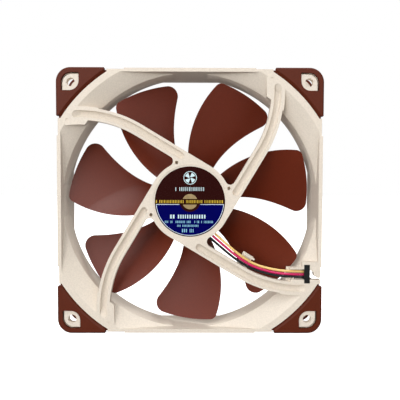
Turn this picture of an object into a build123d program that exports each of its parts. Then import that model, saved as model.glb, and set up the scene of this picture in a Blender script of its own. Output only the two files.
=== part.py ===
from build123d import *
import math
import os

# A 140 mm case fan, standing upright on its lower side.
#
# Everything of the fan itself is drawn in the fan's own frame: x to the right, y up and z along
# the spin axis towards the outlet, with the origin at the centre of the housing.  UPRIGHT then
# turns it so that +Z is up and the outlet faces -Y.  The lead lies on the floor behind the fan
# and is drawn in the upright frame.  Millimetres throughout.

# ---- driving dimensions -------------------------------------------------------------------
SIZE = 140.0                 # over the pads
DEPTH = 25.0                 # over the pads
HOLE_SPACING = 124.5
HOLE_R = 2.2
PAD_PROUD = 0.3              # a pad stands this far out of the frame's side
FACE_PROUD = 0.4             # and this far out of its face
SIDE = SIZE - 2 * PAD_PROUD
FACE = DEPTH / 2 - FACE_PROUD

BORE_R = 68.3
BORE_FLAT = 67.75            # the duct is cut flat here at the middle of each side
BARREL_R = 69.8
RING_R = 80.5                # outer radius of the face ring
FLARE_R = 77.1               # the outlet flare at the face
FLARE_FOOT_Z = 7.0
BELL_R = 70.2                # the intake bell at the face
BELL_TOP_Z = -5.0
FLANGE_UNDER = 8.8           # inner side of the flanges
FLANGE_FOOT_R = 74.3         # the outlet flange slopes from here down to the barrel
FLANGE_FOOT_Z = 5.8
BACK_FOOT_R = 71.5           # and the intake flange from here
BACK_FOOT_Z = -5.5
PAD_SEAT = 10.7              # the pads lie on this level
PAD_START = 45.0             # the pads cover each corner from here outwards
PAD_GAP = 0.85               # open joint between a pad and the lug in it
PAD_RING_GAP = 0.4           # and between a pad and the face ring
PAD_GAP_FLOOR = 9.3
PAD_WALL = 1.0               # the pads wrap round the flange's edge with this wall
PAD_EDGE = 0.8               # chamfer of the pads' outer edge
PAD_ARC_EDGE = 1.3           # and of the edge beside the face ring
PAD_FOOT = 0.5               # a thin foot of the pad reaches on to the end of its recess
PAD_FOOT_START = 43.6
RECESS_START = 43.5
RELIEF_START = 34.5          # from here to the pads the sides stand back
RELIEF = 0.6
PAD_CORNER_R = 7.5
LUG_SIDE = 8.4
LUG_ROUND = 5.0
PEG_R = 1.1                  # pegs that hold a pad in its flange
PEG_AT = (51.5, 66.3)

HUB_R = 21.5                 # hub plate
HUB_UNDER = 11.0
HUB_RIM_IN = 19.6
LABEL_R = 18.5
LABEL_RECESS_R = 19.4
LABEL_RECESS = 0.25
LABEL_THICK = 0.12

STRUT_WIDTH = 6.5
STRUT_UNDER = 8.5
STRUT_NORMAL = 59.0          # direction of the foot point of the first strut's centre line
STRUT_RUN = 42.0             # straight length, then an arc
STRUT_BEND_R = 60.0
STRUT_END = 98.1             # the arc runs to this direction, seen from its own centre
STRUT_OFFSET = HUB_R - STRUT_WIDTH / 2
GROOVE_WIDTH = 3.6
GROOVE_DEPTH = 2.0
GROOVE_ROUND = 1.7           # radius between the groove's walls and its floor
GROOVE_START = 16.6
GROOVE_END = 92.3
GUSSET_IN = 5.6              # the strut's root reaches this far to either side of its centre line
GUSSET_OUT = 3.8
GUSSET_START = 30.0
HUB_FILLET = 2.8             # where a strut's inner edge leaves the hub plate

DOT_R = 0.9                  # blind holes beside the hub plate
DOT_DEPTH = 3.0
DOT_AT = 21.7
DOT_DIRECTIONS = (18.9, 108.9, 198.9)
EJECTOR_R = 0.75             # ejector marks near the struts' roots
EJECTOR_DEPTH = 0.3
EJECTOR_AT = ((-64.3, 42.7), (42.7, 64.3), (-42.7, -64.3), (60.9, -46.8))

SLOT_TOP = -35.8             # cable slot in the lower right corner
SLOT_BOTTOM = -41.3
SLOT_LEFT = 60.2
SLOT_FLOOR = 9.5
RIB_THICK = 0.9              # guide rib above the wires
FINGER_FROM = (28.5, -27.3)  # the finger that holds the wires against the strut
FINGER_TO = (34.4, -30.9)
FINGER_LONG = 6.2
FINGER_THICK = 0.9
BRIDGE = (29.2, -31.6)       # its foot reaches under the wires to the strut
BRIDGE_SIZE = (6.0, 8.2, 0.8)
GATE_DIRECTION = -56.0       # the gap in the hub rim for the wires
GATE_HALF = 4.2
WIRE_R = 0.65
WIRE_Z = SLOT_FLOOR + WIRE_R
WIRE_BEND_X = 60.9           # the wires bend back here
WIRE_BEND_Z = 8.9

CLIP_BAR = ((60.6, 63.5), (-43.2, -33.4), (10.95, FACE))
CLIP_LEG_X = (60.9, 63.2)
CLIP_LEGS = ((-43.1, -41.7), (-34.9, -33.5))
CLIP_LEG_Z = (9.7, 11.0)

HUB_WALL_R = 20.75           # impeller
HUB_WALL_IN = 19.2
HUB_BACK = -11.5
HUB_CAP = 1.5
HUB_FRONT = 8.0
TIP_R = 65.7
BLADES = 7
BLADE_LEAD_Z = -9.4
BLADE_TRAIL_Z = 5.2
BLADE_CAMBER = 0.35
BLADE_STATIONS = (17.0, 29.0, 41.0, 53.0, 67.0)
BLADE_FIRST = 69.5           # direction of the first blade
LEAD_TIP_ROUND = 5.0
TRAIL_TIP_ROUND = 4.2

SHAFT_R = 1.5
BUSH_IN = 1.52
BUSH_R = 3.2
SHELL_R = 3.8
TUBE_R = 4.7
MAGNET_IN = 16.6
MAGNET_OUT = 18.35
YOKE_IN = 18.4
STATOR_R = 16.2
STATOR_LOW = -2.0
STATOR_HIGH = 4.0
BOARD_LOW = 7.4
BOARD_HIGH = 8.4

LEAD_R = 1.7                 # the sleeved lead
FLOOR = -SIZE / 2
COIL_CENTRE = (63.5, 42.0)
COIL_TURN_R = 18.5
COIL_ENTRY = -10.0           # direction in which the lead joins the coil
# the lead's route from the boot to the coil, upright frame
ROUTE = [
    (64.0, 0.6, -42.2),
    (66.6, 2.6, -47.0),
    (72.0, 5.2, -52.4),
    (74.0, 10.4, -58.2),
    (76.2, 17.5, -64.0),
    (79.3, 25.0, FLOOR + LEAD_R),
    (80.68, 32.9, FLOOR + LEAD_R),
]

TAIL_R = 9.0                 # the lead leaves the coil inwards on this arc
TAIL_FROM = 20.0
TAIL_TURN = 95.0
TAIL_CENTRE = (
    COIL_CENTRE[0] + (COIL_TURN_R - 2 * LEAD_R - TAIL_R) * math.cos(math.radians(TAIL_FROM)),
    COIL_CENTRE[1] + (COIL_TURN_R - 2 * LEAD_R - TAIL_R) * math.sin(math.radians(TAIL_FROM)),
)
TIE_AT = 5.0
TIE_THICK = 0.5
END_SLEEVE = 6.0
END_SLEEVE_R = 1.95
END_RUN = 3.7                # runs and turns of the short wires to the connector
END_TURN = 48.0
PITCH = 2.54
CONNECTOR_LONG = 10.8
CONNECTOR_WIDE = 7.7
CONNECTOR_HIGH = 5.8

BOOT_X = 62.3                # where the wires go back through the slot
BOOT_Y = -6.2
# each wire's level at the slot and its route from the board along the strut, fan's own frame
HELD_WIRES = {
    "yellow": (-37.3, [(8.6, -11.6), (12.9, -16.7), (25.4, -27.8), (34.8, -33.8), (47.6, -36.9)]),
    "red": (-38.85, [(7.0, -13.0), (11.7, -17.9), (24.3, -28.8), (33.7, -34.8), (46.6, -38.4)]),
    "black": (-40.35, [(6.2, -14.6), (10.9, -19.5), (23.1, -29.9), (32.4, -35.7), (45.6, -39.6)]),
}

UPRIGHT = Rot(90, 0, 0)
OUT = "parts"


# ---- small helpers ------------------------------------------------------------------------
def polar(radius, degrees, centre=(0, 0)):
    angle = math.radians(degrees)
    return (centre[0] + radius * math.cos(angle), centre[1] + radius * math.sin(angle))


def block(x, y, z):
    """A box between two values along each axis."""
    middle = Pos((x[0] + x[1]) / 2, (y[0] + y[1]) / 2, (z[0] + z[1]) / 2)
    return middle * Box(x[1] - x[0], y[1] - y[0], z[1] - z[0])


def disc(radius, low, high, centre=(0, 0)):
    return Pos(centre[0], centre[1], (low + high) / 2) * Cylinder(radius, high - low)


def ring(inner, outer, low, high):
    return disc(outer, low, high) - disc(inner, low - 1, high + 1)


def prism(sketch, low, high):
    return Pos(0, 0, low) * extrude(sketch, high - low)


def turned(shape, count=4):
    """The same shape at equal steps round the spin axis."""
    return [Rot(0, 0, 360 / count * step) * shape for step in range(count)]


def joined(shapes):
    total = shapes[0]
    for shape in shapes[1:]:
        total = total + shape
    return total


def lathe(points):
    """A solid of revolution from (radius, z) points."""
    outline = make_face(Polyline([(r, 0, z) for r, z in points], close=True))
    return revolve(outline, Axis.Z)


# ---- frame --------------------------------------------------------------------------------
def duct():
    outer = lathe([
        (0, FACE),
        (RING_R, FACE),
        (RING_R, FLANGE_UNDER),
        (FLANGE_FOOT_R, FLANGE_UNDER),
        (BARREL_R, FLANGE_FOOT_Z),
        (BARREL_R, BACK_FOOT_Z),
        (BACK_FOOT_R, -FLANGE_UNDER),
        (RING_R, -FLANGE_UNDER),
        (RING_R, -FACE),
        (0, -FACE),
    ])
    bell_r = ((FACE + BELL_TOP_Z) ** 2 + (BELL_R - BORE_R) ** 2) / (2 * (BELL_R - BORE_R))
    bell_mid_z = (BELL_TOP_Z - FACE) / 2
    bell_mid_r = BORE_R + bell_r - math.sqrt(bell_r ** 2 - (bell_mid_z - BELL_TOP_Z) ** 2)
    side = [
        Line((0, 0, FACE + 1), (FLARE_R + 1.6, 0, FACE + 1)),
        Line((FLARE_R + 1.6, 0, FACE + 1), (FLARE_R, 0, FACE)),
        Line((FLARE_R, 0, FACE), (BORE_R, 0, FLARE_FOOT_Z)),
        Line((BORE_R, 0, FLARE_FOOT_Z), (BORE_R, 0, BELL_TOP_Z)),
        ThreePointArc((BORE_R, 0, BELL_TOP_Z), (bell_mid_r, 0, bell_mid_z), (BELL_R, 0, -FACE)),
        Line((BELL_R, 0, -FACE), (BELL_R, 0, -FACE - 1)),
        Line((BELL_R, 0, -FACE - 1), (0, 0, -FACE - 1)),
        Line((0, 0, -FACE - 1), (0, 0, FACE + 1)),
    ]
    inner = revolve(make_face(Wire(side)), Axis.Z)
    wide = DEPTH + 4
    body = outer & Box(SIDE, SIDE, wide)
    return body - (inner & Box(2 * BORE_FLAT, 2 * BORE_FLAT, wide))


def rounded_square(half, radius):
    return RectangleRounded(2 * half, 2 * half, radius)


def leaf(grow_out=0.0, grow_in=0.0):
    """Plan of a lug in the upper right corner: two sharp corners and two round ones."""
    middle = HOLE_SPACING / 2
    low = middle - LUG_SIDE / 2 - grow_in
    high = middle + LUG_SIDE / 2 + grow_out
    r = LUG_ROUND
    lines = [
        Line((high, low), (high, high - r)),
        CenterArc((high - r, high - r), r, 0, 90),
        Line((high - r, high), (low, high)),
        Line((low, high), (low, low + r)),
        CenterArc((low + r, low + r), r, 180, 90),
        Line((low + r, low), (high, low)),
    ]
    return make_face(Wire(lines))


def flange_plan():
    """The flange's outline under the pads, inside their wall."""
    return rounded_square(SIDE / 2 - PAD_WALL, PAD_CORNER_R - PAD_PROUD - PAD_WALL)


def flanges():
    """Corner plates and lugs of the outlet side; the intake side is their mirror image."""
    plate = prism(flange_plan(), FLANGE_UNDER, PAD_SEAT)
    plate = plate - ring(RING_R, RING_R + PAD_RING_GAP, PAD_GAP_FLOOR, DEPTH)
    plate = plate - turned(prism(leaf(PAD_GAP, 0.1), PAD_GAP_FLOOR, DEPTH))
    half, reach = SIDE / 2, RECESS_START
    bars = block((-half, half), (-reach, reach), (FLANGE_UNDER, FACE))
    bars = bars + block((-reach, reach), (-half, half), (FLANGE_UNDER, FACE))
    corners = (plate + bars) - disc(RING_R - 0.6, 0, DEPTH)
    lug = prism(leaf(), FLANGE_UNDER, FACE)
    holes = disc(HOLE_R, 0, DEPTH, (HOLE_SPACING / 2, HOLE_SPACING / 2))
    pegs = disc(PEG_R, 0, DEPTH, PEG_AT) + disc(PEG_R, 0, DEPTH, PEG_AT[::-1])
    return joined([corners] + turned(lug)) - turned(holes) - turned(pegs)


def strut_band(low, high, start, end):
    """Plan of a band beside the first strut's centre line, from low to high across it."""
    normal = Vector(*polar(1, STRUT_NORMAL))
    along = Vector(-normal.Y, normal.X)
    centre = normal * (STRUT_OFFSET - STRUT_BEND_R) + along * STRUT_RUN

    def spot(t, across):
        return normal * (STRUT_OFFSET + across) + along * t

    def arc(across, first, last):
        return CenterArc(centre, STRUT_BEND_R + across, first, last - first)

    def tip(across):
        return polar(STRUT_BEND_R + across, end, (centre.X, centre.Y))

    lines = [
        Line(spot(start, low), spot(STRUT_RUN, low)),
        arc(low, STRUT_NORMAL, end),
        Line(tip(low), tip(high)),
        arc(high, end, STRUT_NORMAL),
        Line(spot(STRUT_RUN, high), spot(start, high)),
        Line(spot(start, high), spot(start, low)),
    ]
    ends = [spot(start, (low + high) / 2), Vector(*tip((low + high) / 2))]
    return make_face(Wire(lines)), ends


def strut_groove():
    half = GROOVE_WIDTH / 2
    band, ends = strut_band(-half, half, GROOVE_START, GROOVE_END)
    for end in ends:
        band = band + Pos(end.X, end.Y) * Circle(half)
    cutter = prism(band, FACE - GROOVE_DEPTH, FACE + 1)
    return fillet(cutter.faces().sort_by(Axis.Z)[0].edges(), GROOVE_ROUND)


def spider():
    """Hub plate, rim and four struts."""
    half = STRUT_WIDTH / 2
    band, _ = strut_band(-half, half, 0, STRUT_END)
    root, _ = strut_band(-GUSSET_IN, GUSSET_OUT, GUSSET_START, STRUT_END)
    plan = joined([Circle(HUB_R)] + turned(band))
    inner_corners = plan.vertices().filter_by(
        lambda v: abs(math.hypot(v.X, v.Y) - HUB_R) < 0.01 and v.Z == 0
    )
    sharp = [v for v in inner_corners if is_strut_corner(v)]
    plan = fillet(sharp, HUB_FILLET)
    within = disc(RING_R - 0.3, 0, DEPTH) & Box(SIDE, SIDE, 2 * DEPTH)
    roots = joined(turned(prism(root, STRUT_UNDER, FACE))) - disc(BORE_R - 0.2, 0, DEPTH)
    body = (prism(plan, STRUT_UNDER, FACE) + roots) & within
    body = body - disc(HUB_RIM_IN, 0, HUB_UNDER)
    body = body - disc(LABEL_RECESS_R, FACE - LABEL_RECESS, DEPTH)
    return body - turned(strut_groove())


def is_strut_corner(vertex):
    """True where a strut's hub-side edge leaves the hub plate, not where its outer edge does."""
    angle = math.degrees(math.atan2(vertex.Y, vertex.X))
    step = (angle - STRUT_NORMAL) % 90
    return 20 < step < 80


def bearing_tube():
    return ring(SHELL_R, TUBE_R, -4.5, HUB_UNDER)


def small_marks():
    """Blind holes at the hub ends of three struts and ejector marks on the face ring."""
    dots = [disc(DOT_R, FACE - DOT_DEPTH, DEPTH, polar(DOT_AT, angle)) for angle in DOT_DIRECTIONS]
    ejector_marks = [disc(EJECTOR_R, FACE - EJECTOR_DEPTH, DEPTH, spot) for spot in EJECTOR_AT]
    return dots + ejector_marks


def side_reliefs():
    """The steps in the four sides between the straight middle and the pads."""
    inner = SIDE / 2 - RELIEF
    step = block((inner, SIZE), (RELIEF_START, SIZE), (-DEPTH, DEPTH))
    return turned(step) + turned(mirror(step, Plane.XZ))


def cable_corner():
    """Face plate, wire floor, guide rib and finger that lead the wires into the corner."""
    plate = block((59.5, SIDE / 2), (-RECESS_START, -31.8), (SLOT_FLOOR, FACE))
    floor = block((51.5, 60.4), (-RECESS_START, SLOT_TOP + 1.0), (STRUT_UNDER, SLOT_FLOOR))
    rib_low = SLOT_TOP + 1.0 - RIB_THICK
    rib = block((53.0, 60.5), (rib_low, rib_low + RIB_THICK), (STRUT_UNDER, FACE))
    finger = Line(FINGER_FROM, FINGER_TO)
    middle, heading = finger @ 0.5, finger % 0.5
    turn = Rot(0, 0, math.degrees(math.atan2(heading.Y, heading.X)))
    high = FACE - STRUT_UNDER
    wall = Pos(middle.X, middle.Y, STRUT_UNDER + high / 2) * turn * Box(FINGER_LONG, FINGER_THICK, high)
    bridge = Pos(*BRIDGE, STRUT_UNDER + BRIDGE_SIZE[2] / 2) * turn * Box(*BRIDGE_SIZE)
    return plate + floor + rib + wall + bridge


def cable_slot():
    outline = [
        (SLOT_LEFT, SLOT_TOP), (63.3, SLOT_TOP), (65.5, -37.3), (65.8, -39.2), (67.6, -40.3),
        (SIZE / 2 + 1, -40.3), (SIZE / 2 + 1, SLOT_BOTTOM), (SLOT_LEFT, SLOT_BOTTOM),
    ]
    through = prism(make_face(Polyline(outline, close=True)), 0, DEPTH)
    entry = block((55.0, SLOT_LEFT + 0.1), (SLOT_BOTTOM, SLOT_TOP), (SLOT_FLOOR, DEPTH))
    return through + entry


def clip_body(gap=0.0):
    """The clip that bars the slot: a bar with a leg at each end."""
    def grown(span):
        return (span[0] - gap, span[1] + gap)

    bar_x, bar_y, bar_z = CLIP_BAR
    body = block(grown(bar_x), grown(bar_y), (bar_z[0], bar_z[1] + gap))
    for leg_y in CLIP_LEGS:
        body = body + block(grown(CLIP_LEG_X), grown(leg_y), (CLIP_LEG_Z[0] - gap, CLIP_LEG_Z[1]))
    return body


def wire_gate():
    """The gap in the hub rim through which the wires leave."""
    return Rot(0, 0, GATE_DIRECTION) * block((17, 24), (-GATE_HALF, GATE_HALF), (0, HUB_UNDER))


def frame():
    body = duct() + flanges() + mirror(flanges(), Plane.XY) + spider() + bearing_tube()
    body = body + (cable_corner() - disc(HUB_R, 0, DEPTH))
    body = body - cable_slot() - clip_body(0.08) - wire_gate() - side_reliefs()
    return body - small_marks()


# ---- pads ---------------------------------------------------------------------------------
def pad():
    """The rubber pad of the upper right corner on the outlet side."""
    top = DEPTH / 2
    square = Rectangle(40, 40, align=(Align.MIN, Align.MIN))
    corner = Pos(PAD_START, PAD_START) * square
    inside_ring = Circle(RING_R + PAD_RING_GAP)
    plan = (rounded_square(SIZE / 2, PAD_CORNER_R) & corner) - inside_ring
    plate = prism(plan, PAD_SEAT, top)
    beside_ring = plate.faces().sort_by(Axis.Z)[-1].edges().filter_by(is_pad_arc)
    plate = chamfer(beside_ring, PAD_ARC_EDGE)
    lip = plate.faces().sort_by(Axis.Z)[-1].edges().filter_by(is_pad_lip)
    plate = chamfer(lip, PAD_EDGE)
    wall = prism(rounded_square(SIZE / 2, PAD_CORNER_R) & corner, FLANGE_UNDER, PAD_SEAT)
    wall = wall - prism(flange_plan(), 0, DEPTH)
    foot = (flange_plan() & (Pos(PAD_FOOT_START, PAD_FOOT_START) * square)) - inside_ring
    foot = prism(foot, PAD_SEAT, PAD_SEAT + PAD_FOOT)
    pegs = disc(PEG_R, FLANGE_UNDER, PAD_SEAT, PEG_AT) + disc(PEG_R, FLANGE_UNDER, PAD_SEAT, PEG_AT[::-1])
    opening = prism(leaf(PAD_GAP, 0.1), 0, DEPTH)
    return plate + wall + foot + pegs - opening


def is_pad_arc(edge):
    middle = edge @ 0.5
    return edge.length > 8 and math.hypot(middle.X, middle.Y) < RING_R + 2 * PAD_RING_GAP


def is_pad_lip(edge):
    """True for the long edges at the pad's outer side and its round corner."""
    middle = edge @ 0.5
    return edge.length > 8 and max(middle.X, middle.Y) > SIZE / 2 - PAD_CORNER_R and not is_pad_arc(edge)


# ---- impeller -----------------------------------------------------------------------------
def lead_edge(x):
    """Plan position of the leading edge beside the blade's own axis."""
    return -5.4 - 0.124 * (x - 20) - 0.0121 * (x - 20) ** 2


def trail_edge(x):
    return 8.3 + 0.426 * (x - 19) - 0.00955 * (x - 19) ** 2


def blade_section(x):
    """Closed profile of the blade sheet across its axis, a little wider than the blade."""
    thick = 1.75 - 0.45 * (x - BLADE_STATIONS[0]) / (TIP_R - BLADE_STATIONS[0])
    low, high = lead_edge(x), trail_edge(x)
    top, bottom = [], []
    for step in range(5):
        t = -0.12 + 1.24 * step / 4
        bow = t + BLADE_CAMBER * (t * t - t)
        z = BLADE_LEAD_Z + (BLADE_TRAIL_Z - BLADE_LEAD_Z) * bow
        y = low + (high - low) * t
        top.append((x, y, z + thick / 2))
        bottom.append((x, y, z - thick / 2))
    wire = Wire([
        Spline(top), Line(top[-1], bottom[-1]), Spline(bottom[::-1]), Line(bottom[0], top[0]),
    ])
    return wire


def blade_plan():
    lead = [(x, lead_edge(x)) for x in (18, 32, 46, 60)]
    trail = [(x, trail_edge(x)) for x in (18, 33, 49, 66)]
    lines = [
        Spline(lead), Line(lead[-1], (68, lead_edge(60))), Line((68, lead_edge(60)), (68, trail[-1][1])),
        Line((68, trail[-1][1]), trail[-1]), Spline(trail[::-1]), Line(trail[0], lead[0]),
    ]
    plan = make_face(Wire(lines)) & Circle(TIP_R)
    tips = plan.vertices().filter_by(lambda v: math.hypot(v.X, v.Y) > TIP_R - 0.5)
    lead_tip = tips.sort_by(Axis.Y)[0]
    trail_tip = tips.sort_by(Axis.Y)[-1]
    plan = fillet(lead_tip, LEAD_TIP_ROUND)
    trail_tip = plan.vertices().sort_by_distance((trail_tip.X, trail_tip.Y, 0))[0]
    return fillet(trail_tip, TRAIL_TIP_ROUND)


def blade():
    sheet = Solid.make_loft([blade_section(x) for x in BLADE_STATIONS])
    return (sheet & prism(blade_plan(), -14, 10)) - disc(HUB_WALL_IN + 0.4, -20, 20)


def impeller():
    cup = disc(HUB_WALL_R, HUB_BACK, HUB_FRONT)
    cup = fillet(cup.faces().sort_by(Axis.Z)[0].edges(), 1.4)
    cup = cup - disc(HUB_WALL_IN, HUB_BACK + HUB_CAP, HUB_FRONT + 1) - disc(3.6, -10.7, 0)
    blades = [Rot(0, 0, BLADE_FIRST + 360 / BLADES * step) * blade() for step in range(BLADES)]
    return joined([cup] + blades)


# ---- rotor inside the impeller ------------------------------------------------------------
def rotor_yoke():
    cup = disc(HUB_WALL_IN, HUB_BACK + HUB_CAP, 6.8) - disc(YOKE_IN, -9.2, 7.8)
    return cup - disc(3.6, -12, 0)


def ring_magnet():
    return ring(MAGNET_IN, MAGNET_OUT, -7.0, 6.4)


def rotor_boss():
    return ring(SHAFT_R, 3.6, -10.7, -5.6)


def shaft():
    pin = disc(SHAFT_R, -10.7, 9.2)
    pin = fillet(pin.faces().sort_by(Axis.Z)[-1].edges(), 0.7)
    return pin - ring(1.2, 2, 7.2, 7.5)


def retaining_clip():
    clip = ring(1.2, 2.3, 7.22, 7.48)
    return clip - block((0, 3), (-0.9, 0.9), (6, 8))


# ---- bearing ------------------------------------------------------------------------------
def bearing_shell():
    return ring(BUSH_R, SHELL_R, -4.3, HUB_UNDER - 0.3)


def bearing_bush():
    return ring(BUSH_IN, BUSH_R, -3.6, 6.9)


def oil_ring():
    return ring(1.8, BUSH_R, -4.2, -3.6)


def stabiliser_magnet():
    return ring(1.9, BUSH_R, 7.9, 9.1)


def thrust_pad():
    return disc(BUSH_R, 9.3, HUB_UNDER - 0.3)


# ---- stator and electronics ---------------------------------------------------------------
def star(width, low, high, inner=TUBE_R, shoe=1.6, hub=7.4):
    """Four-pole star: a hub, four necks and four pole shoes."""
    neck = block((hub - 1, STATOR_R - shoe / 2), (-width / 2, width / 2), (low, high))
    shoes = ring(STATOR_R - shoe, STATOR_R, low, high)
    gap = block((8, 20), (-1.7, 1.7), (low - 1, high + 1))
    shoes = shoes - [Rot(0, 0, 45) * piece for piece in turned(gap)]
    return joined([disc(hub, low, high), shoes] + turned(neck)) - disc(inner, low - 1, high + 1)


def coil():
    x = (8.4, 13.8)
    outer = block(x, (-4.4, 4.4), (STATOR_LOW - 2.6, STATOR_HIGH + 2.6))
    outer = fillet(outer.edges().filter_by(Axis.X), 1.6)
    return outer - block((8, 15), (-2.25, 2.25), (STATOR_LOW - 1, STATOR_HIGH + 1))


def circuit_board():
    board = ring(TUBE_R + 0.1, 17.4, BOARD_LOW, BOARD_HIGH)
    notch = Rot(0, 0, 124) * block((15.6, 20), (-2.5, 2.5), (BOARD_LOW - 1, BOARD_HIGH + 1))
    return board - notch - terminal_pins()


def on_board(size, radius, angle, turn=0):
    """A small component standing on the board."""
    x, y = polar(radius, angle)
    return Pos(x, y, BOARD_HIGH + size[2] / 2) * Rot(0, 0, turn) * Box(*size)


def terminal_pins():
    return [disc(0.35, STATOR_HIGH + 1, 9.2, polar(15.3, 12 + 90 * step)) for step in range(3)]


# ---- wires in the frame -------------------------------------------------------------------
def bent(points):
    """A path of straight runs joined by the largest tangent arcs that the runs allow."""
    spots = [Vector(*point) for point in points]
    radii = []
    for before, here, after in zip(spots, spots[1:], spots[2:]):
        turn = (here - before).get_angle(after - here)
        shorter = min((here - before).length, (after - here).length)
        radii.append(0.45 * shorter / math.tan(math.radians(turn / 2)))
    return FilletPolyline(*points, radius=radii), radii


def tube(name, points, radius):
    path, radii = bent(points)
    start = Plane(origin=path @ 0, z_dir=path % 0)
    solid = sweep(start * Circle(radius), path)
    ratio = solid.volume / (math.pi * radius ** 2 * path.length)
    print(name, "length %.1f, volume ratio %.3f, radii" % (path.length, ratio),
          [round(r, 1) for r in radii])
    return solid


def held_wire(name, y, route):
    """A wire from the board to the slot, where it bends back under the clip."""
    start, *middle = route
    points = [(*start, BOARD_HIGH + WIRE_R)] + [(*spot, WIRE_Z) for spot in middle]
    points += [(WIRE_BEND_X, y, WIRE_Z), (BOOT_X, y, WIRE_BEND_Z), (BOOT_X, y, -BOOT_Y)]
    return tube(name, points, WIRE_R)


# ---- lead behind the fan, upright frame -----------------------------------------------------
def wire_boot():
    """Heat shrink, flat over the three wires and round at the lead."""
    start = Plane(origin=(BOOT_X, BOOT_Y, HELD_WIRES["red"][0]), x_dir=(0, 0, 1), z_dir=(0, 1, 0))
    middle = Plane(origin=(62.7, -2.4, -39.7), x_dir=(0, 0.45, 0.9), z_dir=(0.1, 0.88, -0.44))
    end = Plane(origin=ROUTE[0], x_dir=(0.2, 0.9, 0.5), z_dir=Vector(*ROUTE[1]) - Vector(*ROUTE[0]))
    return loft([start * Ellipse(2.65, 1.15), middle * Ellipse(2.4, 1.6), end * Circle(2.0)])


def lead_tie():
    """Cable tie round the two strands of the coil."""
    radius = COIL_TURN_R - LEAD_R
    x, y = polar(radius, TIE_AT, COIL_CENTRE)
    half = 2 * LEAD_R + TIE_THICK
    place = Pos(x, y, FLOOR) * Rot(0, 0, TIE_AT)
    outer = block((-half, half), (-1.2, 1.2), (0, 2 * LEAD_R + TIE_THICK))
    inner = block((TIE_THICK - half, half - TIE_THICK), (-2, 2), (TIE_THICK, 2 * LEAD_R))
    head = block((-1.6, 1.6), (-2.0, 2.0), (2 * LEAD_R + TIE_THICK, 2 * LEAD_R + 2.6))
    return place * ((outer - inner) + head)


def lead_coil():
    """Outer shape of the wound lead, with the stretches by which it arrives and leaves."""
    high = FLOOR + 2 * LEAD_R
    turns = disc(COIL_TURN_R + LEAD_R, FLOOR, high, COIL_CENTRE)
    turns = turns - disc(COIL_TURN_R - 3 * LEAD_R, FLOOR - 1, high + 1, COIL_CENTRE)
    joint = Vector(*polar(COIL_TURN_R, COIL_ENTRY, COIL_CENTRE), FLOOR + LEAD_R)
    start = Vector(*ROUTE[-1])
    length = (joint - start).length
    stub = Plane(origin=start, z_dir=joint - start) * Pos(0, 0, length / 2) * Cylinder(
        LEAD_R - 0.05, length)
    heading = math.degrees(math.atan2(joint.Y - start.Y, joint.X - start.X))
    berth = block((-9, 0), (-LEAD_R - 0.05, LEAD_R + 0.05), (-DEPTH, DEPTH))
    turns = turns - Pos(*start) * Rot(0, 0, heading) * berth
    path = CenterArc((*TAIL_CENTRE, FLOOR + LEAD_R), TAIL_R, TAIL_FROM + 25, TAIL_TURN - 25)
    tail = sweep(Plane(origin=path @ 0, z_dir=path % 0) * Circle(LEAD_R - 0.05), path)
    return turns + stub + tail - lead_tie()


def at_tail(along, across, height):
    """A point of the lead's end: along the tail's heading, to its left, and above the floor."""
    x, y = polar(TAIL_R, TAIL_FROM + TAIL_TURN, TAIL_CENTRE)
    heading = math.radians(TAIL_FROM + TAIL_TURN + 90)
    return (
        x + along * math.cos(heading) - across * math.sin(heading),
        y + along * math.sin(heading) + across * math.cos(heading),
        FLOOR + height,
    )


def lead_end_sleeve():
    """Heat shrink over the end of the braid."""
    start = Vector(*at_tail(0, 0, END_SLEEVE_R))
    end = Vector(*at_tail(END_SLEEVE, 0, END_SLEEVE_R))
    body = Plane(origin=start, z_dir=end - start) * Pos(0, 0, END_SLEEVE / 2) * Cylinder(
        END_SLEEVE_R, END_SLEEVE)
    return fillet(body.edges().filter_by(GeomType.CIRCLE), 0.4)


def end_wire(name, side):
    """One of the three wires between the heat shrink and the connector."""
    half_turn = math.radians(END_TURN / 2)
    run = END_RUN
    near = 1.35 * side
    corner = 1.35 * side / math.cos(half_turn)
    spread = 1.9 * side / math.cos(half_turn)
    slot = PITCH * side
    second = (run + run * math.cos(2 * half_turn), run * math.sin(2 * half_turn))
    heading = 4 * half_turn
    mouth = connector_mouth()
    entry = (mouth[0] + 1.5 * math.cos(heading), mouth[1] + 1.5 * math.sin(heading))
    points = [
        at_tail(END_SLEEVE, near, END_SLEEVE_R),
        at_tail(END_SLEEVE + run - corner * math.sin(half_turn), corner * math.cos(half_turn),
                END_SLEEVE_R),
        at_tail(END_SLEEVE + second[0] - spread * math.sin(3 * half_turn),
                second[1] + spread * math.cos(3 * half_turn), CONNECTOR_HIGH / 2 - 0.2),
        at_tail(END_SLEEVE + entry[0] - slot * math.sin(heading),
                entry[1] + slot * math.cos(heading), CONNECTOR_HIGH / 2),
    ]
    return tube(name, points, WIRE_R)


def connector_mouth():
    """Where the end wires enter the connector, from the heat shrink's end."""
    turn = math.radians(END_TURN)
    along = END_RUN * (1 + math.cos(turn) + 1.15 * math.cos(2 * turn))
    across = END_RUN * (math.sin(turn) + 1.15 * math.sin(2 * turn))
    return along, across


def at_connector(shape):
    """Places a shape drawn with its wire end at the origin and its length along +x."""
    along, across = connector_mouth()
    origin = at_tail(END_SLEEVE + along, across, 0)
    return Pos(*origin) * Rot(0, 0, TAIL_FROM + TAIL_TURN + 90 + 2 * END_TURN) * shape


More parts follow.
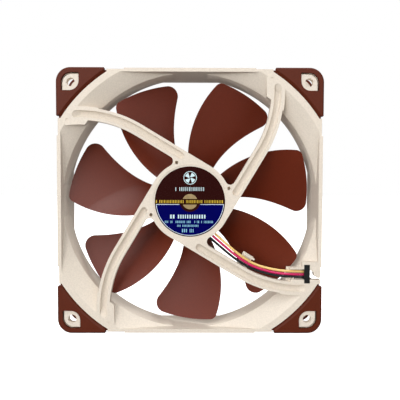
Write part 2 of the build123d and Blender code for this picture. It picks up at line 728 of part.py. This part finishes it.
def connector_housing():
    body = block((0, CONNECTOR_LONG), (-CONNECTOR_WIDE / 2, CONNECTOR_WIDE / 2), (0, 4.9))
    body = fillet(body.edges().filter_by(Axis.X), 0.3)
    ribs = [block((2.5, CONNECTOR_LONG), (y - 0.5, y + 0.5), (4.8, CONNECTOR_HIGH))
            for y in (-2.6, 2.6)]
    for side in (-1, 0, 1):
        y = PITCH * side
        body = body - block((-1, CONNECTOR_LONG + 1), (y - 0.95, y + 0.95), (1.95, 3.85))
        body = body - block((4.0, 6.4), (y - 0.6, y + 0.6), (3.8, 6))
    return at_connector(body + ribs[0] + ribs[1])


def crimp_terminals():
    shells = []
    for side in (-1, 0, 1):
        y = PITCH * side
        shell = block((1.8, 9.5), (y - 0.85, y + 0.85), (2.05, 3.75))
        shells.append(at_connector(shell - block((3.0, 10), (y - 0.5, y + 0.5), (2.4, 3.4))))
    return shells


# ---- write the parts ----------------------------------------------------------------------
def save(name, shape):
    pieces = shape if isinstance(shape, (list, tuple)) else [shape]
    solids = [solid for piece in pieces for solid in piece.solids()]
    export_step(Compound(children=solids), os.path.join(OUT, name + ".step"))


def upright(shape):
    if isinstance(shape, list):
        return [UPRIGHT * piece for piece in shape]
    return UPRIGHT * shape


def main():
    os.makedirs("parts", exist_ok=True)
    fan = {
        "frame": frame(),
        "label": disc(LABEL_R, FACE - LABEL_RECESS, FACE - LABEL_RECESS + LABEL_THICK),
        "cable_clip": clip_body(),
        "bearing_shell": bearing_shell(),
        "bearing_bush": bearing_bush(),
        "oil_ring": oil_ring(),
        "stabiliser_magnet": stabiliser_magnet(),
        "thrust_pad": thrust_pad(),
        "stator_core": star(4.0, STATOR_LOW, STATOR_HIGH),
        "insulator_front": star(4.4, STATOR_HIGH, STATOR_HIGH + 1),
        "insulator_rear": star(4.4, STATOR_LOW - 1, STATOR_LOW),
        "coils": turned(coil()),
        "circuit_board": circuit_board(),
        "hall_sensor": Pos(*polar(12.6, 315), BOARD_LOW - 0.75) * Rot(0, 0, 45) * Box(1.5, 4.0, 1.5),
        "driver_chip": on_board((3.9, 4.9, 1.5), 11.2, 180),
        "capacitor": on_board((1.6, 3.2, 1.3), 11.6, 80, 80),
        "resistors": [on_board((0.8, 1.6, 0.5), 13.2, angle, angle) for angle in (215, 235, 255)],
        "terminal_pins": terminal_pins(),
        "impeller": impeller(),
        "rotor_yoke": rotor_yoke(),
        "ring_magnet": ring_magnet(),
        "rotor_boss": rotor_boss(),
        "shaft": shaft(),
        "retaining_clip": retaining_clip(),
    }
    for name, (y, route) in HELD_WIRES.items():
        fan["wire_" + name] = held_wire("wire_" + name, y, route)
    outlet = pad()
    intake = mirror(outlet, Plane.XY)
    for step, corner in enumerate(("top_right", "top_left", "bottom_left", "bottom_right")):
        fan["pad_outlet_" + corner] = Rot(0, 0, 90 * step) * outlet
        fan["pad_intake_" + corner] = Rot(0, 0, 90 * step) * intake
    for name, shape in fan.items():
        save(name, upright(shape))
    save("wire_boot", wire_boot())
    save("lead_sleeve", tube("lead_sleeve", ROUTE, LEAD_R))
    save("lead_coil", lead_coil())
    save("lead_tie", lead_tie())
    save("lead_end_sleeve", lead_end_sleeve())
    for side, name in zip((-1, 0, 1), ("yellow", "red", "black")):
        save("lead_wire_" + name, end_wire("lead_wire_" + name, side))
    save("connector_housing", connector_housing())
    save("crimp_terminals", crimp_terminals())


main()
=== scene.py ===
import math
import random

import bmesh
import bpy
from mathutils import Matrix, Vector


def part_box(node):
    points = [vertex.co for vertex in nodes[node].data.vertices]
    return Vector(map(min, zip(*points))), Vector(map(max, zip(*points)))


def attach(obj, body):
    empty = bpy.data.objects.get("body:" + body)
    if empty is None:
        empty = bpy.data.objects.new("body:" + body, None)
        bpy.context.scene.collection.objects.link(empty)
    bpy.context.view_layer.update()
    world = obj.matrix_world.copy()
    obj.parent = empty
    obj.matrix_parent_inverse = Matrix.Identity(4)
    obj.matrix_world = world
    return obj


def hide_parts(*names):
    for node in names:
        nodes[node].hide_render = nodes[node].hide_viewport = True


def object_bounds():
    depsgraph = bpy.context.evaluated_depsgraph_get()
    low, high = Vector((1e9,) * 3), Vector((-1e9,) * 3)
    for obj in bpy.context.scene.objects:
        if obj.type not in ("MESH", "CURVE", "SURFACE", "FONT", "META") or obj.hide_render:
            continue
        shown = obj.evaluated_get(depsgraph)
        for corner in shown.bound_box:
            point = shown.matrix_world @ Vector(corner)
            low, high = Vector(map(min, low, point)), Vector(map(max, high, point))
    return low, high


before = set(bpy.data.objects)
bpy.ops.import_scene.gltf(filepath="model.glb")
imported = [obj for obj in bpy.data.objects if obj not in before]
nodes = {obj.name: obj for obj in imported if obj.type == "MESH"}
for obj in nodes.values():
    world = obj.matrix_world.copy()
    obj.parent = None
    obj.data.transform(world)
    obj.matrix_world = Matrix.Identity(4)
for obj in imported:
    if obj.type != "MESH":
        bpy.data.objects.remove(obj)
cad_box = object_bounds()

MM = 0.001
# sockets of a Mix node that blends numbers, and of one that blends colours
MIX_FACTOR = 0
MIX_NUMBERS = (2, 3)
MIX_NUMBER_OUT = 0
MIX_COLOURS = (6, 7)
MIX_COLOUR_OUT = 2


# ---- camera, lights and stage ---------------------------------------------------------------
CAMERA_PLACE = (0.004378, -0.236543, 0.00835)
CAMERA_TILT_DEG = (88.092, -0.125, -0.231)
CAMERA_LENS_MM = 38.44
CAMERA_SENSOR_MM = 36.0
CAMERA_NEAR = 0.01
CAMERA_FAR = 20.0

# name, degrees to the right and up from the fan's centre, distance, size, strength, sheen
LIGHTS = [
    ("key", -25, 10, 1.2, 0.4, 0.27, 0.3),
    ("top left", -45, 42, 0.9, 0.6, 0.27, 0.7),
    ("overhead", 8, 52, 0.95, 0.8, 0.15, 12.0),
    ("top", 0, 78, 0.9, 0.6, 0.37, 0.0),
    ("left", -42, 3, 0.85, 0.6, 0.22, 5.0),
    ("right", 50, 8, 0.9, 0.5, 0.11, 1.5),
    ("near", 35, -8, 0.33, 0.2, 0.12, 0.0),
    ("back", 155, 45, 1.1, 0.6, 0.4, 1.0),
]
BACKDROP_SEEN = 1.0          # how bright the white behind the fan looks
BACKDROP_LIGHT = 0.32        # how much light it gives
FLOOR_HEIGHT = cad_box[0].z
FLOOR_HALF = 3.0
FLOOR_GLOW = 0.85


def make_camera():
    data = bpy.data.cameras.new("camera")
    data.lens = CAMERA_LENS_MM
    data.sensor_width = CAMERA_SENSOR_MM
    data.clip_start = CAMERA_NEAR
    data.clip_end = CAMERA_FAR
    camera = bpy.data.objects.new("camera", data)
    camera.location = CAMERA_PLACE
    camera.rotation_euler = [math.radians(angle) for angle in CAMERA_TILT_DEG]
    bpy.context.collection.objects.link(camera)
    bpy.context.scene.camera = camera


def make_light(name, right_deg, up_deg, distance, size, strength, sheen):
    """A square soft light aimed at the fan's centre, in a direction seen from there.

    Strength is the light that it gives to a matt white face turned towards it. Sheen is how
    much stronger it is in reflections: 0 shows in none, and 1 is an ordinary light.
    """
    right = math.radians(right_deg)
    up = math.radians(up_deg)
    level = math.cos(up)
    place = distance * Vector((math.sin(right) * level, -math.cos(right) * level, math.sin(up)))
    data = bpy.data.lights.new(name, "AREA")
    data.shape = "SQUARE"
    data.size = size
    data.energy = strength * (math.pi * distance) ** 2
    light = bpy.data.objects.new(name, data)
    light.location = place
    light.rotation_euler = (-place).to_track_quat("-Z", "Y").to_euler()
    bpy.context.collection.objects.link(light)
    if sheen != 1.0:
        light.visible_glossy = False
    if sheen not in (0.0, 1.0):
        gloss = light.copy()
        gloss.data = data.copy()
        gloss.data.energy *= sheen
        gloss.visible_glossy = True
        gloss.visible_diffuse = False
        bpy.context.collection.objects.link(gloss)


def make_world():
    """White behind everything, and a softer white as the light from all sides."""
    world = bpy.data.worlds.new("studio")
    world.use_nodes = True
    tree = world.node_tree
    background = tree.nodes["Background"]
    background.inputs["Color"].default_value = (1, 1, 1, 1)
    path = tree.nodes.new("ShaderNodeLightPath")
    choose = tree.nodes.new("ShaderNodeMix")
    for socket, strength in zip(MIX_NUMBERS, (BACKDROP_LIGHT, BACKDROP_SEEN)):
        choose.inputs[socket].default_value = strength
    tree.links.new(path.outputs["Is Camera Ray"], choose.inputs[MIX_FACTOR])
    tree.links.new(choose.outputs[MIX_NUMBER_OUT], background.inputs["Strength"])
    world.cycles_visibility.glossy = False
    bpy.context.scene.world = world


def make_floor():
    """A wide pale table under the fan, which neither tints it nor shows in its gloss."""
    mesh = bpy.data.meshes.new("floor")
    signs = ((-1, -1), (1, -1), (1, 1), (-1, 1))
    corners = [(FLOOR_HALF * u, FLOOR_HALF * v, FLOOR_HEIGHT) for u, v in signs]
    mesh.from_pydata(corners, [], [(0, 1, 2, 3)])
    floor = bpy.data.objects.new("floor", mesh)
    bpy.context.collection.objects.link(floor)
    mesh.materials.append(floor_paint())
    floor.visible_diffuse = False
    floor.visible_glossy = False


# ---- materials ------------------------------------------------------------------------------
NOISE_LOW = 0.3              # nearly all of a noise's values lie between these two
NOISE_HIGH = 0.7


class Finish:
    """A procedural material, with its texture in the object's own coordinates."""

    def __init__(self, name, colour, roughness, metallic=0.0, specular=0.5):
        self.material = bpy.data.materials.new(name)
        self.material.use_nodes = True
        self.tree = self.material.node_tree
        self.shader = self.tree.nodes["Principled BSDF"]
        self.set("Base Color", (*colour, 1.0))
        self.set("Roughness", roughness)
        self.set("Metallic", metallic)
        self.set("Specular IOR Level", specular)
        self.place = self.add("ShaderNodeTexCoord").outputs["Object"]
        self.colour = colour
        self.bump_normal = None

    def set(self, socket, value):
        self.shader.inputs[socket].default_value = value

    def add(self, kind):
        return self.tree.nodes.new(kind)

    def link(self, source, target):
        self.tree.links.new(source, target)

    def noise(self, size_mm, detail=2.0, stretch=None):
        """Noise whose features are about this large."""
        texture = self.add("ShaderNodeTexNoise")
        texture.inputs["Scale"].default_value = 1.0 / (size_mm * MM)
        texture.inputs["Detail"].default_value = detail
        place = self.place
        if stretch:
            mapping = self.add("ShaderNodeMapping")
            mapping.inputs["Scale"].default_value = stretch
            self.link(place, mapping.inputs["Vector"])
            place = mapping.outputs["Vector"]
        self.link(place, texture.inputs["Vector"])
        return texture.outputs["Fac"]

    def spread(self, value, low, high):
        """The same pattern between two values."""
        ranged = self.add("ShaderNodeMapRange")
        ranged.inputs["From Min"].default_value = NOISE_LOW
        ranged.inputs["From Max"].default_value = NOISE_HIGH
        ranged.inputs["To Min"].default_value = low
        ranged.inputs["To Max"].default_value = high
        self.link(value, ranged.inputs["Value"])
        return ranged.outputs["Result"]

    def mottle(self, size_mm, change):
        """Colour that drifts a little to both sides of the base colour."""
        mix = self.add("ShaderNodeMix")
        mix.data_type = "RGBA"
        dark = [part * (1 - change) for part in self.colour]
        light = [min(1.0, part * (1 + change)) for part in self.colour]
        for socket, colour in zip(MIX_COLOURS, (dark, light)):
            mix.inputs[socket].default_value = (*colour, 1.0)
        self.link(self.spread(self.noise(size_mm, 4.0), 0.0, 1.0), mix.inputs[MIX_FACTOR])
        self.link(mix.outputs[MIX_COLOUR_OUT], self.shader.inputs["Base Color"])
        return self

    def uneven(self, size_mm, low, high):
        """Gloss that changes from place to place."""
        self.link(self.spread(self.noise(size_mm), low, high), self.shader.inputs["Roughness"])
        return self

    def relief(self, pattern, height_mm):
        """Fine bumps from a pattern, on top of any that are there already."""
        bump = self.add("ShaderNodeBump")
        bump.inputs["Distance"].default_value = height_mm * MM
        self.link(pattern, bump.inputs["Height"])
        if self.bump_normal is not None:
            self.link(self.bump_normal, bump.inputs["Normal"])
        self.bump_normal = bump.outputs["Normal"]
        self.link(self.bump_normal, self.shader.inputs["Normal"])
        return self

    def grain(self, size_mm, height_mm, stretch=None):
        """Bumps of about this size, longer along one axis if stretched."""
        return self.relief(self.noise(size_mm, 3.0, stretch), height_mm)


def floor_paint():
    """A pale table that glows a little, as a light table does."""
    finish = Finish("floor_paint", (0.9, 0.9, 0.9), 0.8)
    finish.set("Emission Color", (1, 1, 1, 1))
    finish.set("Emission Strength", FLOOR_GLOW)
    return finish.mottle(40, 0.01).material


def frame_plastic():
    """Beige moulded plastic with a fine matt texture."""
    finish = Finish("frame_plastic", (0.745, 0.662, 0.56), 0.5, specular=0.2)
    return finish.mottle(0.7, 0.06).uneven(0.8, 0.46, 0.6).grain(0.5, 0.022).material


def impeller_plastic():
    """Brown moulded plastic, a little glossier than the frame."""
    finish = Finish("impeller_plastic", (0.155, 0.0190, 0.0035), 0.40, specular=0.35)
    return finish.mottle(0.6, 0.10).uneven(0.6, 0.36, 0.46).grain(0.45, 0.014).material


def pad_rubber():
    """Soft brown rubber with hardly any gloss."""
    finish = Finish("pad_rubber", (0.105, 0.0175, 0.0055), 0.5, specular=0.1)
    return finish.mottle(0.8, 0.06).uneven(0.5, 0.44, 0.56).grain(0.4, 0.012).material


def glossy_polymer(name, colour, roughness, height_mm=0.006, specular=0.5):
    """Smooth plastic, insulation or film."""
    finish = Finish(name, colour, roughness, specular=specular)
    finish.mottle(2, 0.05)
    finish.uneven(0.7, roughness - 0.05, roughness + 0.06)
    return finish.grain(0.5, height_mm).material


def metal(name, colour, roughness, stretch):
    """Turned or drawn metal, with fine lines along or round it."""
    finish = Finish(name, colour, roughness, metallic=1.0)
    finish.mottle(1.5, 0.06)
    finish.uneven(0.4, roughness - 0.06, roughness + 0.08)
    return finish.grain(0.3, 0.004, stretch).material


WAVE_PER_SCALE = 0.314       # the period of a wave texture whose scale is 1


def layered(name, colour, roughness, period_mm, height_mm, axis):
    """Stacked plates or wound wire, as ridges across one axis."""
    finish = Finish(name, colour, roughness, metallic=1.0)
    wave = finish.add("ShaderNodeTexWave")
    wave.bands_direction = axis
    wave.inputs["Scale"].default_value = WAVE_PER_SCALE / (period_mm * MM)
    wave.inputs["Distortion"].default_value = 0.4
    finish.link(finish.place, wave.inputs["Vector"])
    return finish.mottle(0.8, 0.08).relief(wave.outputs["Fac"], height_mm).material


# the finish of each material slot in the record
MAKERS = {
    "frame_plastic": frame_plastic,
    "impeller_plastic": impeller_plastic,
    "pad_rubber": pad_rubber,
    "label_film": lambda: glossy_polymer("label_film", (0.026, 0.0045, 0.0038), 0.25, 0.0003, 0.05),
    "clip_plastic": lambda: glossy_polymer("clip_plastic", (0.010, 0.010, 0.011), 0.38),
    "wire_yellow": lambda: glossy_polymer("wire_yellow", (0.88, 0.60, 0.20), 0.32),
    "wire_red": lambda: glossy_polymer("wire_red", (0.66, 0.012, 0.12), 0.32),
    "wire_black": lambda: glossy_polymer("wire_black", (0.010, 0.012, 0.014), 0.34),
    "heat_shrink": lambda: glossy_polymer("heat_shrink", (0.012, 0.012, 0.013), 0.42, 0.05),
    "braid": lambda: glossy_polymer("braid", (0.014, 0.014, 0.015), 0.36),
    "insulator": lambda: glossy_polymer("insulator", (0.62, 0.60, 0.54), 0.45),
    "bearing_polymer": lambda: glossy_polymer("bearing_polymer", (0.55, 0.54, 0.50), 0.4),
    "component": lambda: glossy_polymer("component", (0.016, 0.016, 0.018), 0.5),
    "board": lambda: glossy_polymer("board", (0.030, 0.11, 0.045), 0.35),
    "magnet": lambda: glossy_polymer("magnet", (0.045, 0.042, 0.040), 0.55, 0.02),
    "brass": lambda: metal("brass", (0.78, 0.56, 0.24), 0.28, (1, 20, 1)),
    "bronze": lambda: metal("bronze", (0.60, 0.38, 0.20), 0.42, (1, 1, 1)),
    "steel": lambda: metal("steel", (0.60, 0.60, 0.60), 0.25, (1, 20, 1)),
    "tin": lambda: metal("tin", (0.78, 0.77, 0.74), 0.30, (6, 1, 1)),
    "copper": lambda: layered("copper", (0.76, 0.33, 0.16), 0.30, 0.2, 0.05, "X"),
    "lamination": lambda: layered("lamination", (0.34, 0.34, 0.35), 0.45, 0.5, 0.04, "Y"),
}


def finish_cad_nodes():
    """Gives each CAD node the finish of its own material slot, and returns the finishes."""
    made = {}
    for node in nodes.values():
        slot = node.data.materials[0].name.split(".")[0]
        if slot not in made:
            made[slot] = MAKERS[slot]()
        node.material_slots[0].link = "OBJECT"
        node.material_slots[0].material = made[slot]
    return made


# ---- edges of the moulded pieces ------------------------------------------------------------
# widths in millimetres
EDGE_SHARP_DEG = 30.0
EDGE_WIDTH = 0.2
EDGE_SEGMENTS = 2
WELD_DISTANCE = 0.002


def soften(node):
    """Rounds a node's sharp edges."""
    weld = node.modifiers.new("weld", "WELD")
    weld.merge_threshold = WELD_DISTANCE * MM
    bevel = node.modifiers.new("edges", "BEVEL")
    bevel.width = EDGE_WIDTH * MM
    bevel.segments = EDGE_SEGMENTS
    bevel.limit_method = "ANGLE"
    bevel.angle_limit = math.radians(EDGE_SHARP_DEG)
    bevel.harden_normals = True


# ---- the lead -------------------------------------------------------------------------------
# lengths and places in millimetres
LEAD_R = 1.7
CORE_R = 1.5
CORE_STEPS = 12              # pieces of curve between two control points
CORE_ROUNDNESS = 6           # how finely the tube's circle is divided
# the route from the boot to the coil
ROUTE = [
    (64.0, 0.6, -42.2),
    (66.6, 2.6, -47.0),
    (72.0, 5.2, -52.4),
    (74.0, 10.4, -58.2),
    (76.2, 17.5, -64.0),
    (79.3, 25.0, -68.3),
    (80.68, 32.9, -68.3),
]
COIL_CENTRE = (63.5, 42.0)
COIL_TURN_R = 18.5
COIL_ENTRY_DEG = -10
COIL_LEAVE_DEG = 20          # the lead turns inwards here, one turn later
COIL_STEP_DEG = 15
FULL_TURN_DEG = 360
TAIL_R = 9.0
TAIL_TURN_DEG = 95
TAIL_STEP_DEG = 19
END_RUN = 3.0                # how far it runs on inside the end sleeve


def around(centre, radius, degrees, height=0.0):
    """A point on a level circle."""
    angle = math.radians(degrees)
    return (centre[0] + radius * math.cos(angle), centre[1] + radius * math.sin(angle), height)


def outward(step_deg):
    """How many times a circle's radius its control points lie out, so that the curve keeps to it."""
    return 1 / math.cos(math.radians(step_deg / 2))


def coil_points(level):
    """A turn and a little more, drawn in by a lead's width so that it ends inside its start."""
    points = []
    last = COIL_LEAVE_DEG + FULL_TURN_DEG - COIL_STEP_DEG
    draw_in = COIL_ENTRY_DEG + FULL_TURN_DEG - COIL_LEAVE_DEG
    for degrees in range(COIL_ENTRY_DEG, last + 1, COIL_STEP_DEG):
        inward = min(1, max(0, (degrees - COIL_LEAVE_DEG) / draw_in))
        radius = (COIL_TURN_R - 2 * LEAD_R * inward) * outward(COIL_STEP_DEG)
        points.append(around(COIL_CENTRE, radius, degrees, level))
    return points


def tail_points(level):
    """The tighter arc inside the coil, and the short run into the end sleeve."""
    centre = around(COIL_CENTRE, COIL_TURN_R - 2 * LEAD_R - TAIL_R, COIL_LEAVE_DEG)
    last = COIL_LEAVE_DEG + TAIL_TURN_DEG
    points = []
    for degrees in range(COIL_LEAVE_DEG, last + 1, TAIL_STEP_DEG):
        points.append(around(centre, TAIL_R * outward(TAIL_STEP_DEG), degrees, level))
    points.append(around(points[-1], END_RUN, last + 90, level))
    return points


def lead_points():
    """Control points of the whole lead."""
    level = ROUTE[-1][2]
    return ROUTE + coil_points(level) + tail_points(level)


def nurbs(name, points_mm, radius_mm):
    """A smooth tube along its control points."""
    curve = bpy.data.curves.new(name, "CURVE")
    curve.dimensions = "3D"
    curve.resolution_u = CORE_STEPS
    curve.bevel_depth = radius_mm * MM
    curve.bevel_resolution = CORE_ROUNDNESS
    curve.use_fill_caps = True
    spline = curve.splines.new("NURBS")
    spline.points.add(len(points_mm) - 1)
    for point, place in zip(spline.points, points_mm):
        point.co = (*[part * MM for part in place], 1.0)
    spline.order_u = 3
    spline.use_endpoint_u = True
    piece = bpy.data.objects.new(name, curve)
    bpy.context.collection.objects.link(piece)
    return piece


def line_of(curve_piece):
    """The points of a curve's own line."""
    bare_data = curve_piece.data.copy()
    bare_data.bevel_depth = 0.0
    bare = bpy.data.objects.new("bare", bare_data)
    mesh = bpy.data.meshes.new_from_object(bare)
    line = [vertex.co.copy() for vertex in mesh.vertices]
    bpy.data.meshes.remove(mesh)
    bpy.data.curves.remove(bare_data)
    return line


def evenly(line, step):
    """Stations at equal steps along a line, each a place with a side and an up direction.

    The directions turn with the line but don't twist about it. The true step is returned too.
    """
    lengths = [0.0]
    for before, after in zip(line, line[1:]):
        lengths.append(lengths[-1] + (after - before).length)
    count = int(lengths[-1] / step)
    places = []
    index = 0
    for number in range(count + 1):
        along = lengths[-1] * number / count
        while index < len(line) - 2 and lengths[index + 1] < along:
            index += 1
        share = (along - lengths[index]) / (lengths[index + 1] - lengths[index])
        places.append(line[index].lerp(line[index + 1], share))
    side = Vector((0, 0, 1)).cross(places[1] - places[0]).normalized()
    stations = []
    for number, place in enumerate(places):
        before = places[max(0, number - 1)]
        after = places[min(count, number + 1)]
        ahead = (after - before).normalized()
        side = (side - ahead * side.dot(ahead)).normalized()
        stations.append((place, side, ahead.cross(side)))
    return stations, lengths[-1] / count


BRAID_CARRIERS = 8           # strands each way
BRAID_LAY = 8.0              # length of one turn of a strand
BRAID_STEPS = 6              # stations between two crossings of the same side
BRAID_R = 1.56
BRAID_WAVE = 0.07
BRAID_HALF_WIDTH = 0.34
BRAID_THICK = 0.07


def strand_section(station, angle, radius):
    """The four corners of a strand's lens-shaped section."""
    place, side, up = station
    half = BRAID_HALF_WIDTH / radius
    corners = []
    for turn, level in ((-half, 0), (0, BRAID_THICK), (half, 0), (0, -BRAID_THICK)):
        out = math.cos(angle + turn) * side + math.sin(angle + turn) * up
        corners.append(place + out * (radius + level) * MM)
    return corners


def strand_faces(first):
    """The four faces between a section that starts at this vertex and the next one."""
    faces = []
    for k in range(4):
        other = (k + 1) % 4
        faces.append((first + k, first + other, first + 4 + other, first + 4 + k))
    return faces


def make_braid(core, material):
    """Flat strands wound both ways, each over and under the others."""
    stations, step = evenly(line_of(core), BRAID_LAY / BRAID_CARRIERS / BRAID_STEPS * MM)
    vertices = []
    faces = []
    for way in (-1, 1):
        for carrier in range(BRAID_CARRIERS):
            for number, station in enumerate(stations):
                along = number * step / MM
                angle = 2 * math.pi * (way * along / BRAID_LAY + carrier / BRAID_CARRIERS)
                wave = math.cos(2 * math.pi * BRAID_CARRIERS * along / BRAID_LAY)
                if number:
                    faces += strand_faces(len(vertices) - 4)
                vertices += strand_section(station, angle, BRAID_R + way * BRAID_WAVE * wave)
    mesh = bpy.data.meshes.new("lead_braid")
    mesh.from_pydata(vertices, [], faces)
    mesh.shade_smooth()
    mesh.materials.append(material)
    braid = bpy.data.objects.new("lead_braid", mesh)
    bpy.context.collection.objects.link(braid)
    return braid


def make_lead(finishes):
    """The free lead: a smooth core in a woven sleeve, in place of its two plain CAD solids."""
    core = nurbs("lead_core", lead_points(), CORE_R)
    core.data.materials.append(finishes["heat_shrink"])
    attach(core, "housing")
    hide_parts("lead_sleeve", "lead_coil")
    braid = make_braid(core, finishes["braid"])
    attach(braid, "housing")


# ---- label art ------------------------------------------------------------------------------
LABEL_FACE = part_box("label")[0].y
# lengths and places in millimetres, from the fan's centre
INK = 0.02                   # thickness of one printed layer
FIELD_R = 17.65              # the blue lower part of the disc
FIELD_TOP = -1.65
NOTCH_R = 5.45
BORDER = 0.3                 # width of the pale line round it
FIELD_STEPS = 64
NOTCH_STEPS = 24
FOIL_R = 4.0
FOIL_STEPS = 24
FOIL_CAPS_DEG = [(21, 159), (203, 337)]
SIGN_CENTRE = (0.1, 12.5)
SIGN_R = 3.5
SIGN_RING = 0.35             # width of the sign's ring
SIGN_GAP = 0.75              # from the ring's outside to the blades
SIGN_HUB_R = 0.5
SIGN_RING_PIECES = 16
SIGN_BLADES = 4
SIGN_TURN_DEG = 20           # where the first blade's tip begins
SIGN_TIP_DEG = 52            # how far round its tip goes
SIGN_ROOT_DEG = (15, 80)     # where its two edges meet the hub, from where its tip begins
# rows of print: left end, right end, foot, top, thinnest bar, widest bar, gap between bars
NAME_ROW = (-7.6, 7.4, 5.6, 7.6, 0.3, 0.55, 0.65)
MIDDLE_ROW = (-17.9, 17.5, -0.8, 0.8, 0.25, 0.55, 0.42)
BOLD_ROW = (-10.4, 9.6, -8.9, -6.9, 0.5, 0.9, 0.6)
FINE_ROWS = [
    (-13.2, 12.4, -11.3, -10.1, 0.25, 0.5, 0.35),
    (-6.7, 5.5, -13.3, -12.2, 0.25, 0.5, 0.35),
    (-5.1, 3.8, -16.2, -14.4, 0.35, 0.8, 0.45),
]
PRINTED_SHARE = 0.85         # the rest of the bars are left out, as spaces between words
random.seed(14)


def arc(radius, first, last, steps, centre=(0, 0)):
    """Points along an arc between two angles in degrees."""
    turns = [first + (last - first) * k / steps for k in range(steps + 1)]
    return [around(centre, radius, degrees)[:2] for degrees in turns]


def inlay(name, outlines, layer, material):
    """A thin printed layer on the label from closed outlines in millimetres."""
    work = bmesh.new()
    low = LABEL_FACE - (layer - 1) * INK * MM
    for outline in outlines:
        base = [work.verts.new((u * MM, low, v * MM)) for u, v in outline]
        top = [work.verts.new((u * MM, low - INK * MM, v * MM)) for u, v in outline]
        work.faces.new(base[::-1])
        work.faces.new(top)
        for k in range(len(base)):
            other = (k + 1) % len(base)
            work.faces.new((base[k], base[other], top[other], top[k]))
    bmesh.ops.recalc_face_normals(work, faces=work.faces)
    mesh = bpy.data.meshes.new(name)
    work.to_mesh(mesh)
    work.free()
    mesh.materials.append(material)
    piece = bpy.data.objects.new(name, mesh)
    bpy.context.collection.objects.link(piece)
    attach(piece, "housing")


def field(radius, top, notch):
    """The lower part of the disc, with a round notch at its middle."""
    start = math.degrees(math.asin(top / radius))
    side = math.degrees(math.asin(-top / notch))
    outline = arc(radius, start, -180 - start, FIELD_STEPS)
    return outline + arc(notch, 180 + side, 360 - side, NOTCH_STEPS)


def bar(left, foot, width, height):
    """The outline of one upright bar."""
    right = left + width
    top = foot + height
    return [(left, foot), (right, foot), (right, top), (left, top)]


def marks(first, last, low, high, narrow, wide, gap):
    """A row of bars of uneven width that stands for a printed line."""
    row = []
    u = first
    while u < last - narrow:
        width = min(random.uniform(narrow, wide), last - u)
        if random.random() < PRINTED_SHARE:
            row.append(bar(u, low, width, high - low))
        u += width + gap
    return row


def fan_sign():
    """A generic sign: a ring with four blades in it."""
    outlines = []
    span = 360 / SIGN_RING_PIECES
    for k in range(SIGN_RING_PIECES):
        first = span * k
        last = span * (k + 1)
        outside = arc(SIGN_R, first, last, 3, SIGN_CENTRE)
        inside = arc(SIGN_R - SIGN_RING, last, first, 3, SIGN_CENTRE)
        outlines.append(outside + inside)
    for k in range(SIGN_BLADES):
        turn = 360 / SIGN_BLADES * k + SIGN_TURN_DEG
        first, last = [around(SIGN_CENTRE, SIGN_HUB_R, turn + root)[:2] for root in SIGN_ROOT_DEG]
        tip = arc(SIGN_R - SIGN_GAP, turn, turn + SIGN_TIP_DEG, 8, SIGN_CENTRE)
        outlines.append([first, *tip, last])
    return outlines


def ink(name, colour, change=0.05):
    """Satin print."""
    return Finish(name, colour, 0.35).mottle(3, change).grain(0.4, 0.001).material


def blue_film():
    """The deep blue of the lower field, as smooth as the film round it."""
    finish = Finish("label_blue", (0.0003, 0.0005, 0.090), 0.25, specular=0.05)
    return finish.mottle(5, 0.06).grain(0.4, 0.0003).material


def gold_foil():
    """Dull gold with lines brushed across it."""
    finish = Finish("label_gold", (0.42, 0.30, 0.14), 0.34, metallic=0.35)
    return finish.mottle(2, 0.15).uneven(1.0, 0.28, 0.42).grain(1.2, 0.004, (12, 1, 1)).material


def make_label():
    """The print on the label, with rows of bars where the real one has words."""
    pale = ink("label_pale", (0.62, 0.80, 0.84))
    border = field(FIELD_R + BORDER, FIELD_TOP + BORDER, NOTCH_R + BORDER)
    caps = [arc(FOIL_R, first, last, FOIL_STEPS) for first, last in FOIL_CAPS_DEG]
    inlay("label_border", [border], 1, ink("label_edge", (0.62, 0.72, 0.86), 0.04))
    inlay("label_field", [field(FIELD_R, FIELD_TOP, NOTCH_R)], 2, blue_film())
    inlay("label_foil", caps, 1, gold_foil())
    inlay("label_sign", fan_sign(), 1, pale)
    inlay("label_name_row", marks(*NAME_ROW), 1, pale)
    inlay("label_middle_row", marks(*MIDDLE_ROW), 2, ink("label_yellow", (0.60, 0.40, 0.015), 0.06))
    inlay("label_bold_row", marks(*BOLD_ROW), 3, pale)
    fine_marks = []
    for row in FINE_ROWS:
        fine_marks += marks(*row)
    inlay("label_fine_rows", fine_marks, 3, ink("label_cyan", (0.22, 0.50, 0.66)))


# ---- everything together --------------------------------------------------------------------
def main():
    bpy.context.scene.view_settings.view_transform = "Standard"
    make_camera()
    make_world()
    for light in LIGHTS:
        make_light(*light)
    make_floor()
    finishes = finish_cad_nodes()
    make_lead(finishes)
    make_label()
    soften(nodes["frame"])
    for name, node in nodes.items():
        if name.startswith("pad_"):
            soften(node)


main()
